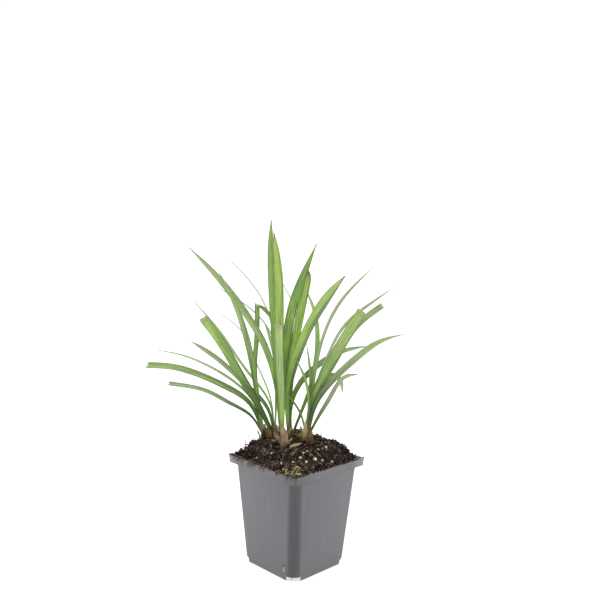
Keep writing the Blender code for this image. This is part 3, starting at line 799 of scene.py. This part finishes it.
def fan_heap(name):
    """The crown and every blade of a fan.

    A foot leans towards its blade's first point, and the feet stand in three rows.
    """
    heap = Heap()
    across, depth, half_width = FANS[name]
    points, marks = crown(name)
    heap.add_tube(points, **marks)
    for i, (width, foot_face, tip_face, end, *tones, knots) in enumerate(LEAVES[name]):
        lean = max(-1.0, min(1.0, (knots[0][0] - across) / 10.0))
        row = 0.8 * (i % 3 - 1)
        foot = (across + 0.45 * half_width * lean, depth + row, CROWN_HEIGHT + 2.0 + i % 2)
        ragged = CUT_RAGGEDNESS if end == "cut" else 0.0
        shape = blade([foot, *knots], width, (foot_face, tip_face), end, i * 3.7 + len(name), ragged)
        add_leaf(heap, shape, name, i, (*tones, end))
    if name in FOLDED_ENDS:
        width, face, knots = FOLDED_ENDS[name]
        shape = blade(knots, width, (face, face), "pointed", 9.0)
        add_leaf(heap, shape, name, len(LEAVES[name]), (0.8, 0.85, 0.1, "pointed"))
    return heap


def build_fans():
    """Each fan's leaves, the back one in the darker green."""
    finishes = {"leaf": leaf_finish("leaf_green", 0.0), "dark_leaf": leaf_finish("leaf_dark", 0.06)}
    for name in FANS:
        slot = "dark_leaf" if name == "fan_back_left" else "leaf"
        piece = fan_heap(name).piece(f"{name}_leaves", finishes[slot], slot)
        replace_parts(piece, name)


def build_husks():
    """Dry sheaths: narrow blades that start below the soil and end ragged."""
    straw = husk_finish("husk_paper")
    for index, (name, (width, face, foot, knots, brown)) in enumerate(HUSKS.items()):
        low = float(soil_height(*turned((*foot, 0))[:2])) - HUSK_DEPTH
        straight = [(*foot, low + HUSK_DEPTH * share) for share in (0.0, 0.35, 0.7, 1.05)]
        points, uv, _ = blade(straight + knots, width, (face, face), "pointed", index * 2.3, 1.0)
        heap = Heap()
        heap.add_tube(turned(points), seed=float(index), tone=brown, **uv)
        slot = "straw" if name in ("husk_front", "yellow_leaf") else "husk"
        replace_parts(heap.piece(f"{name}_paper", straw, slot), name)


# Pot


def square_outline(half, radius, bow=0.0, side_steps=18, arc_steps=9):
    """A square's outline with round corners and sides bowed outward, from its +X side on.

    Along a side, x is half plus bow times 1 - t squared, for t from -1 to 1 between the arcs.
    """
    flat = half - radius
    t = -1 + 2 * np.arange(side_steps) / side_steps
    a = math.pi / 2 * np.arange(arc_steps) / arc_steps
    side = np.concatenate([
        np.stack([half + bow * (1 - t * t), flat * t], -1),
        np.stack([flat + radius * np.cos(a), flat + radius * np.sin(a)], -1)])
    turns = [np.array([[1, 0], [0, 1]]), np.array([[0, 1], [-1, 0]]),
             np.array([[-1, 0], [0, -1]]), np.array([[0, -1], [1, 0]])]
    return np.concatenate([side @ turn for turn in turns])


def wall_outline(z, inset):
    """The pot wall's outline at a height, set in from the outside."""
    share = z / POT_HEIGHT
    half = (FOOT_WIDTH + (TOP_WIDTH - FOOT_WIDTH) * share) / 2
    return square_outline(half - inset, CORNER_RADIUS - inset, SIDE_BOW * share)


def clip_corners(outline, reach):
    """The outline with everything beyond a distance from the axis, along the diagonals, cut off."""
    x, y = outline.T
    beyond = np.maximum((np.abs(x) + np.abs(y)) / math.sqrt(2) - reach, 0) / math.sqrt(2)
    return np.stack([x - np.sign(x) * beyond, y - np.sign(y) * beyond], -1)


def farther(first, second):
    """Of two outlines, the one that lies farther out, point by point."""
    out = np.abs(first).max(1) > np.abs(second).max(1)
    return np.where(out[:, None], first, second)


def stack_rings(rings, low_pole, high_pole):
    """Points and faces of a closed skin through rings, from one pole to the other."""
    count = len(rings[0][0])
    points = np.concatenate([np.column_stack([outline, np.full(count, z)]) for outline, z in rings])
    points = np.concatenate([points, [low_pole, high_pole]])
    faces = tube_faces(len(rings), count)[:-2]
    i = np.arange(count)
    j = (i + 1) % count
    low, high = len(points) - 2, len(points) - 1
    last = (len(rings) - 1) * count
    faces += np.stack([j, i, np.full(count, low)], -1).tolist()
    faces += np.stack([last + i, last + j, np.full(count, high)], -1).tolist()
    return points, faces


def lip_profile():
    """The lip's outer profile from below: how far in from the widest, and how far up."""
    bead = LIP_HEIGHT - BEAD_HEIGHT
    return ((1.0, 0.0), (0.75, 0.05), (0.55, 0.25), (0.5, 0.6), (0.5, bead - 0.2), (0.4, bead + 0.05),
            (0.1, bead + 0.25), (0.0, bead + 0.6), (0.0, LIP_HEIGHT - 0.7), (0.1, LIP_HEIGHT - 0.3),
            (0.35, LIP_HEIGHT - 0.06), (0.7, LIP_HEIGHT))


def pot_rings():
    """The pot's skin from the middle of its foot, up outside, over the lip and down inside."""
    top = POT_HEIGHT
    lip_low = top - LIP_HEIGHT
    rings = [(wall_outline(0, 0) * share, 0.0) for share in (0.2, 0.6, 0.9)]
    rings += [(wall_outline(0, inset), z) for inset, z in ((0.3, 0.0), (0.1, 0.08), (0, 0.3))]
    rings += [(wall_outline(z, 0.0), z) for z in np.linspace(0.6, lip_low, 34)]
    under = wall_outline(top - LIP_PLATE, 0.0)
    pocket = farther(square_outline(LIP_WIDTH / 2 - BEAD_STEP - LIP_THICKNESS, LIP_RADIUS - BEAD_STEP),
                     under * 1.002)
    rings += [(under, top - LIP_PLATE - 0.02), (pocket, top - LIP_PLATE), (pocket, lip_low + 0.2)]
    rings += [(square_outline(LIP_WIDTH / 2 - step, LIP_RADIUS - step), lip_low + rise)
              for step, rise in lip_profile()]
    rings += [(wall_outline(top, WALL - 0.3), top), (wall_outline(top, WALL), top - 0.3)]
    raised = NOTCH_HEIGHT + WALL
    rings += [(wall_outline(z, WALL), z) for z in np.linspace(top - 2, raised + 0.02, 12)]
    inner = NOTCH_FROM_AXIS - WALL
    rings += [(clip_corners(wall_outline(z, WALL), inner), z) for z in (raised, 3.0, FLOOR)]
    rings += [(wall_outline(FLOOR, WALL) * share, FLOOR) for share in (0.6, 0.4, 0.2)]
    return rings


def block(centre, size, turn):
    """Corners and faces of a box about its centre, turned about Z."""
    signs = np.array([(x, y, z) for z in (-1, 1) for x, y in ((-1, -1), (1, -1), (1, 1), (-1, 1))])
    x, y, z = (signs * np.array(size) / 2).T
    points = np.stack([x * math.cos(turn) - y * math.sin(turn),
                       x * math.sin(turn) + y * math.cos(turn), z], -1)
    faces = [(3, 2, 1, 0), (4, 5, 6, 7), (0, 1, 5, 4), (1, 2, 6, 5), (2, 3, 7, 6), (3, 0, 4, 7)]
    return points + np.array(centre), faces


def drain_openings():
    """A notch under each corner of the foot, and a slit low in each wall that faces along X."""
    heap = Heap()
    reach, slit_depth = 30.0, 6.0
    for k in range(4):
        diagonal = math.pi / 4 + k * math.pi / 2
        middle = NOTCH_FROM_AXIS + reach / 2
        centre = (middle * math.cos(diagonal), middle * math.sin(diagonal), (NOTCH_HEIGHT - reach) / 2)
        heap.add(*block(centre, (reach, NOTCH_WIDTH, NOTCH_HEIGHT + reach), diagonal))
    for side in (-1, 1):
        spot = (side * FOOT_WIDTH / 2, side * SLIT_FROM_AXIS, SLIT_BOTTOM + SLIT_HEIGHT / 2)
        heap.add(*block(spot, (slit_depth, SLIT_WIDTH, SLIT_HEIGHT), 0.0))
    return heap


def cut_out(piece, heap):
    """Cut the heap's closed shapes out of a piece, and keep its edges crisp."""
    mesh = bpy.data.meshes.new("cutter")
    faces = [tuple(face) for face in heap.faces]
    mesh.from_pydata((np.concatenate(heap.points) * MM).tolist(), [], faces)
    cutter = bpy.data.objects.new("cutter", mesh)
    bpy.context.scene.collection.objects.link(cutter)
    modifier = piece.modifiers.new("cut", "BOOLEAN")
    modifier.operation = "DIFFERENCE"
    modifier.object = cutter
    bpy.context.view_layer.update()
    graph = bpy.context.evaluated_depsgraph_get()
    result = bpy.data.meshes.new_from_object(piece.evaluated_get(graph))
    piece.modifiers.clear()
    piece.data = result
    result.set_sharp_from_angle(angle=math.radians(35.0))
    bpy.data.objects.remove(cutter, do_unlink=True)


def build_pot():
    """The pot's shell with its openings cut."""
    points, faces = stack_rings(pot_rings(), (0, 0, 0), (0, 0, FLOOR))
    pot = make_piece("pot_shell", points, faces, pot_finish())
    cut_out(pot, drain_openings())
    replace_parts(pot, "pot")


# Soil


def soil_height(x, y):
    """The soil's surface: level with the lip at the wall, mounded under the crown, lower in front."""
    from_wall = TOP_WIDTH / 2 - off_axis(x, y)
    depth = in_view(x, y)[1]
    front = 0.45 + 0.55 * smooth((depth + 38.0) / 40.0)
    return SOIL_EDGE_HEIGHT + MOUND_HEIGHT * smooth(from_wall / MOUND_RAMP) * front


def soil_surface(x, y):
    """The soil's height with lumps: noise of three sizes, fainter near the wall."""
    calm = 0.35 + 0.65 * smooth((TOP_WIDTH / 2 - off_axis(x, y)) / 4)
    lumps = sum(tall * lattice_noise(x, y, wide, seed)
                for seed, (tall, wide) in enumerate(SOIL_LUMPS, start=1))
    return soil_height(x, y) + lumps * calm


def soil_top_rings(inset):
    """The wall's outline shrunk to the middle in even steps, each point at the soil's height."""
    edge = wall_outline(SOIL_EDGE_HEIGHT, inset)
    rings = []
    for share in np.linspace(1.0, 0.02, 70):
        outline = edge * share
        rings.append((outline, soil_surface(outline[:, 0], outline[:, 1])))
    return rings


def build_soil():
    """The soil fills the pot up to its lumpy top, and steps over the notches."""
    inset = WALL + CLEARANCE
    step = NOTCH_FROM_AXIS - WALL - CLEARANCE
    raised = NOTCH_HEIGHT + WALL + CLEARANCE
    low = FLOOR + CLEARANCE
    rings = [(wall_outline(low, inset) * share, low) for share in (0.3, 0.8)]
    rings += [(clip_corners(wall_outline(z, inset), step), z) for z in (low, raised)]
    rings += [(wall_outline(z, inset), z) for z in np.linspace(raised + 0.02, SOIL_EDGE_HEIGHT - 1, 12)]
    middle = (0, 0, float(soil_surface(0.0, 0.0)))
    points, faces = stack_rings(rings + soil_top_rings(inset), (0, 0, low), middle)
    soil = make_piece("soil_bed", points, faces, soil_finish())
    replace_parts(soil, "soil")


# Bits on the soil


def scatter(count, seed, reach=40.5):
    """Places on the soil's square, at random and in the pot's axes."""
    return np.random.default_rng(seed).uniform(-reach, reach, (count, 2))


def rim_places(count, seed):
    """Places along the lip, most of them on the two sides that meet at the front corner."""
    draw = np.random.default_rng(seed)
    along = draw.uniform(-44, 44, count)
    out = draw.uniform(41.2, 44.3, count)
    side = draw.choice(4, count, p=[0.08, 0.08, 0.56, 0.28])
    x = np.choose(side, [out, along, -out, along])
    y = np.choose(side, [along, out, along, -out])
    return np.column_stack([x, y])


def on_soil(across, depth):
    """The point of the soil's surface at a place in the view, in the pot's axes."""
    x, y, _ = turned((across, depth, 0))
    return x, y, float(soil_surface(x, y))


def strew(heap, name):
    """Make a kind of bit a piece, in its own colours."""
    heap.piece(name, crumb_finish(*BITS[name]), "soil")


def lump_shape(draw, size, flat, rings, around):
    """A rough pebble: a ball of rings whose radius varies at random, squashed by flat.

    The rings run from the bottom up, so that its faces point outward.
    """
    polar = np.linspace(0.25, math.pi - 0.25, rings)[:, None]
    turn = full_turn(around)[None, :]
    radius = size * draw.uniform(0.7, 1.25, (rings, around))
    points = np.stack([radius * np.sin(polar) * np.cos(turn), radius * np.sin(polar) * np.sin(turn),
                       radius * np.cos(polar) * flat], -1)
    return points[::-1]


def spun(points, draw):
    """Points turned at random about all three axes."""
    matrix, _ = np.linalg.qr(draw.normal(size=(3, 3)))
    if np.linalg.det(matrix) < 0:
        matrix[:, 0] *= -1
    return points @ matrix.T


def build_crumbs():
    """Crumbs of peat strewn over the soil, and some that spill onto the lip."""
    draw = np.random.default_rng(21)
    heap = Heap()
    for x, y in np.concatenate([scatter(SOIL_CRUMBS, 22), rim_places(LIP_CRUMBS, 23)]):
        on_lip = off_axis(x, y) > SOIL_REACH
        size = draw.uniform(0.35, 0.95 if on_lip else 1.5)
        shape = spun(lump_shape(draw, size, 0.7, 5, 6), draw)
        z = POT_HEIGHT + size * 0.5 if on_lip else float(soil_surface(x, y)) + size * 0.3
        heap.add_tube(shape + (x, y, z), tone=draw.uniform(-0.25, 1) ** 3)
    strew(heap, "soil_crumbs")


def bark_places(draw):
    """Places in the pot's axes: all over, heaped at the left corner and along the right edge."""
    loose = np.column_stack(in_view(*scatter(LOOSE_BARK, 32).T))
    left = np.column_stack([draw.uniform(-57, -34, LEFT_BARK), draw.normal(0, 6, LEFT_BARK)])
    right = np.column_stack([draw.uniform(22, 52, RIGHT_BARK), draw.normal(8, 6, RIGHT_BARK)])
    spots = np.concatenate([loose, left, right])
    return turned(np.column_stack([spots, np.zeros(len(spots))]))[:, :2]


def tipped(points, rise, heading):
    """Points tipped up about Y, then turned about Z."""
    tip = np.array([[math.cos(rise), 0, math.sin(rise)], [0, 1, 0], [-math.sin(rise), 0, math.cos(rise)]])
    turn = np.array([[math.cos(heading), math.sin(heading), 0],
                     [-math.sin(heading), math.cos(heading), 0], [0, 0, 1]])
    return points @ tip @ turn


def build_bark():
    """Flat splinters of bark, denser at the left corner and along the right edge."""
    draw = np.random.default_rng(31)
    heap = Heap()
    for x, y in bark_places(draw):
        if off_axis(x, y) > SOIL_REACH:
            continue
        length, width, thick = draw.uniform(1.4, 5.0), draw.uniform(0.7, 2.0), draw.uniform(0.3, 0.8)
        shape = lump_shape(draw, 1.0, 1.0, 4, 6) * (length / 2, width / 2, thick)
        heading = draw.uniform(0, math.pi)
        shape = tipped(shape, draw.normal(0, 0.5), heading)
        heaped = 2.2 if in_view(x, y)[0] < -40 else 0.0
        z = float(soil_surface(x, y)) + thick * 0.8 + draw.uniform(0, heaped)
        heap.add_tube(shape + (x, y, z), tone=draw.uniform(-0.2, 1) ** 3)
    strew(heap, "bark_bits")


def thread(heap, path, radius, tone, around=5):
    """A thin tube along a path, tapering to its ends."""
    path = np.asarray(path, float)
    direction = unit(np.gradient(path, axis=0))
    side = unit(np.cross(direction, (0.31, 0.17, 0.93)))
    up = np.cross(direction, side)
    angle = full_turn(around)
    size = radius * (0.35 + 0.65 * np.sin(np.linspace(0.15, math.pi - 0.15, len(path))))
    ring = side[:, None] * np.cos(angle)[:, None] + up[:, None] * np.sin(angle)[:, None]
    heap.add_tube(path[:, None] + ring * size[:, None, None], tone=tone)


def curling_path(draw, x, y):
    """A path that wanders over the soil and arches off it."""
    steps = 7
    heading = draw.uniform(0, 2 * math.pi) + np.cumsum(draw.normal(0, 0.35, steps))
    stride = draw.uniform(0.4, 1.4)
    px = np.clip(x + np.cumsum(np.cos(heading)) * stride, -SOIL_REACH, SOIL_REACH)
    py = np.clip(y + np.cumsum(np.sin(heading)) * stride, -SOIL_REACH, SOIL_REACH)
    arch = np.sin(np.linspace(0, math.pi, steps)) * draw.uniform(0.2, 1.6)
    return np.column_stack([px, py, soil_surface(px, py) + 0.25 + arch])


def hanging_path(draw, along, drop):
    """A path from the soil over the lip's left edge and down outside it."""
    out = np.array([-40.5, -43.0, -45.2, -45.5, -45.4])
    fall = np.array([0.6, 1.3, 0.6, -0.4 * drop, -drop]) + POT_HEIGHT
    slip = along + np.cumsum(draw.normal(0, 0.5, len(out)))
    return np.column_stack([out, slip, fall])


def build_fibres():
    """Fine pale fibres and rootlets that curl over the soil, and some that hang over the lip."""
    draw = np.random.default_rng(41)
    heap = Heap()
    for x, y in scatter(LOOSE_FIBRES, 42, 39.0):
        thread(heap, curling_path(draw, x, y), draw.uniform(0.1, 0.26), draw.uniform(0, 1))
    along, drop = draw.uniform(-42, 40, HANGING_FIBRES), draw.uniform(1.0, 5.5, HANGING_FIBRES)
    for spot in zip(along, drop):
        thread(heap, hanging_path(draw, *spot), draw.uniform(0.15, 0.35), draw.uniform(0, 0.5))
    strew(heap, "soil_fibres")


def build_twigs():
    """Dark dry twigs that stand up from the mound."""
    draw = np.random.default_rng(51)
    heap = Heap()
    for (across, depth), tip, radius, tone in TWIGS:
        foot = np.array([across, depth, on_soil(across, depth)[2] - 1.5])
        share = np.linspace(0, 1, 8)[:, None]
        path = foot + (np.array(tip) - foot) * share
        path = path + draw.normal(0, 0.25, path.shape) * np.sin(share * math.pi)
        thread(heap, turned(path), radius, tone, 6)
    strew(heap, "soil_twigs")


def build_granules():
    """Pale feed granules lying among the crumbs, and a pale bit caught in the front slit."""
    draw = np.random.default_rng(61)
    heap = Heap()
    for across, depth in GRANULES:
        x, y, z = on_soil(across, depth)
        size = draw.uniform(1.0, 1.75)
        shape = spun(lump_shape(draw, size, 0.6, 9, 12), draw)
        heap.add_tube(shape + (x, y, z + size * 0.4), tone=draw.uniform(0, 1))
    caught = lump_shape(draw, 1.0, 1.0, 9, 12) * (0.6, 0.55, 2.1)
    heap.add_tube(caught + (-34.6, -SLIT_FROM_AXIS, SLIT_BOTTOM + 2.0), tone=1.6)
    strew(heap, "feed_granules")


def build_moss():
    """A patch of moss at the front corner: clumps of tiny leaflets."""
    draw = np.random.default_rng(71)
    heap = Heap()
    across, depth = draw.normal(-1.5, 6.5, MOSS_CLUMPS), draw.normal(-49.0, 4.0, MOSS_CLUMPS)
    for clump in np.column_stack([across, depth]):
        shade = draw.uniform(0, 1)
        for across, depth in clump + draw.normal(0, 0.9, (LEAFLETS, 2)):
            x, y, z = on_soil(across, depth)
            if off_axis(x, y) > LIP_REACH:
                continue
            shape = spun(lump_shape(draw, draw.uniform(0.3, 0.75), 1.5, 4, 5), draw)
            z = max(z, POT_HEIGHT) + draw.uniform(0.0, 0.9)
            tone = np.clip(shade + draw.normal(0, 0.2), 0, 1)
            heap.add_tube(shape + (x, y, z), tone=tone)
    strew(heap, "moss_patch")


def scrap_path(draw, fan, number):
    """The way a scrap faces and its knots, from the fan's foot outward and up."""
    across, depth, half_width = fan
    turn = draw.uniform(math.pi, 2 * math.pi) if number % 3 else draw.uniform(0, math.pi)
    out = np.array([math.cos(turn), math.sin(turn)])
    start = np.array([across, depth]) + out * (half_width + 0.5, CROWN_HALF_DEPTH + 0.8)
    x, y, _ = turned((*start, 0))
    low = float(soil_height(x, y)) - 0.5
    tall, reach = draw.uniform(4.0, 14.0), draw.uniform(0.3, 4.0)
    if number % 4 == 0:
        tall, reach = draw.uniform(2.5, 6.0), draw.uniform(4.0, 9.0)
    middle = start + out * reach * 0.35 + draw.normal(0, 0.5, 2)
    end = start + out * reach + draw.normal(0, 1.2, 2)
    knots = [(*start, low), (*middle, low + tall * 0.55), (*end, low + tall)]
    return math.degrees(turn) + draw.normal(0, 25), knots


def build_scraps():
    """Torn dry sheaths and fibres round the feet of the fans, leaning outward and up."""
    draw = np.random.default_rng(81)
    heap = Heap()
    for number, fan in enumerate(FANS.values()):
        for k in range(SCRAPS_PER_FAN):
            facing, knots = scrap_path(draw, fan, k)
            width = draw.uniform(0.8, 3.4)
            points, uv, _ = blade(knots, width, (facing, facing), "pointed", k * 1.7 + number, 1.2)
            heap.add_tube(turned(points), seed=float(k), tone=draw.uniform(0.1, 1.1), **uv)
    heap.piece("dry_scraps", husk_finish("scrap_paper"), "husk")


def build_root_tip():
    """A fine root that hangs from the notch under the front corner."""
    heap = Heap()
    thread(heap, turned(ROOT_PATH), 0.35, 0.6, 6)
    strew(heap, "root_tip")


# Stage, lights and camera


def build_stage():
    """A wide white floor with a faint glow, so that it stays white to its far edge."""
    bpy.ops.mesh.primitive_plane_add(size=FLOOR_SIZE, location=(0, 0, -0.0002))
    floor = bpy.context.object
    floor.name = "floor"
    f = Finish("floor_white", Roughness=0.9, Specular_IOR_Level=0.1, Emission_Color=(1, 1, 1, 1),
               Emission_Strength=FLOOR_GLOW)
    floor.data.materials.append(f.finish(f.mix(f.noise(f.place(), 3.0), *FLOOR_GREYS)))


def build_world():
    """Studio light, brightest at the sides and dim in front, before a plain white backdrop."""
    world = bpy.data.worlds.new("studio")
    bpy.context.scene.world = world
    world.use_nodes = True
    graph = Graph(world.node_tree)
    towards = graph.add("ShaderNodeTexCoord", {}, output="Generated")
    front = tuple(turned((0, -1, 0)))
    facing = graph.add("ShaderNodeVectorMath", {"operation": "DOT_PRODUCT"}, towards, front,
                       output="Value")
    side = facing.ramp(-0.75, -0.1) * (1 - facing.ramp(0.2, 0.85))
    glow = BACK_GLOW - facing.ramp(0.1, 0.8) * (BACK_GLOW - FRONT_GLOW)
    glow = glow + side * (SIDE_GLOW - BACK_GLOW)
    seen = graph.add("ShaderNodeLightPath", {}, output="Is Camera Ray")
    background = graph.nodes["Background"]
    background.inputs["Color"].default_value = (1.0, 1.0, 1.0, 1.0)
    graph.fill(background.inputs["Strength"], glow + seen * (BACK_GLOW - glow))
    bpy.context.scene.view_settings.view_transform = "Standard"


def put(name, data, across, depth, height):
    """A light or a camera at a place in the view, in metres."""
    item = bpy.data.objects.new(name, data)
    item.location = turned((across, depth, height))
    bpy.context.scene.collection.objects.link(item)
    return item


def area_light(name, across, depth, height, size, power):
    """A soft square light placed in the view's terms, aimed at the plant."""
    light = bpy.data.lights.new(name, "AREA")
    light.shape = "SQUARE"
    light.size = size
    light.energy = power
    item = put(name, light, across, depth, height)
    aim = np.array([0, 0, AIM_HEIGHT]) - turned((across, depth, height))
    tilt = math.acos(-aim[2] / np.linalg.norm(aim))
    item.rotation_euler = (tilt, 0, math.atan2(aim[1], aim[0]) - math.pi / 2)


def build_camera():
    """The photograph's camera, which looks a little down and is slightly rolled."""
    lens = bpy.data.cameras.new("camera")
    lens.sensor_width = SENSOR_WIDTH
    lens.lens = LENS
    lens.clip_start = 0.01
    camera = put("camera", lens, *CAMERA_PLACE)
    camera.rotation_mode = "QUATERNION"
    level = Euler((math.radians(90 - LOOKS_DOWN), 0, VIEW_TURN)).to_quaternion()
    camera.rotation_quaternion = level @ Quaternion((0, 0, 1), math.radians(ROLL))
    bpy.context.scene.camera = camera


build_pot()
build_soil()
build_fans()
build_husks()
build_crumbs()
build_bark()
build_fibres()
build_twigs()
build_granules()
build_moss()
build_scraps()
build_root_tip()
build_stage()
build_world()
for name, values in LIGHTS.items():
    area_light(name, *values)
build_camera()
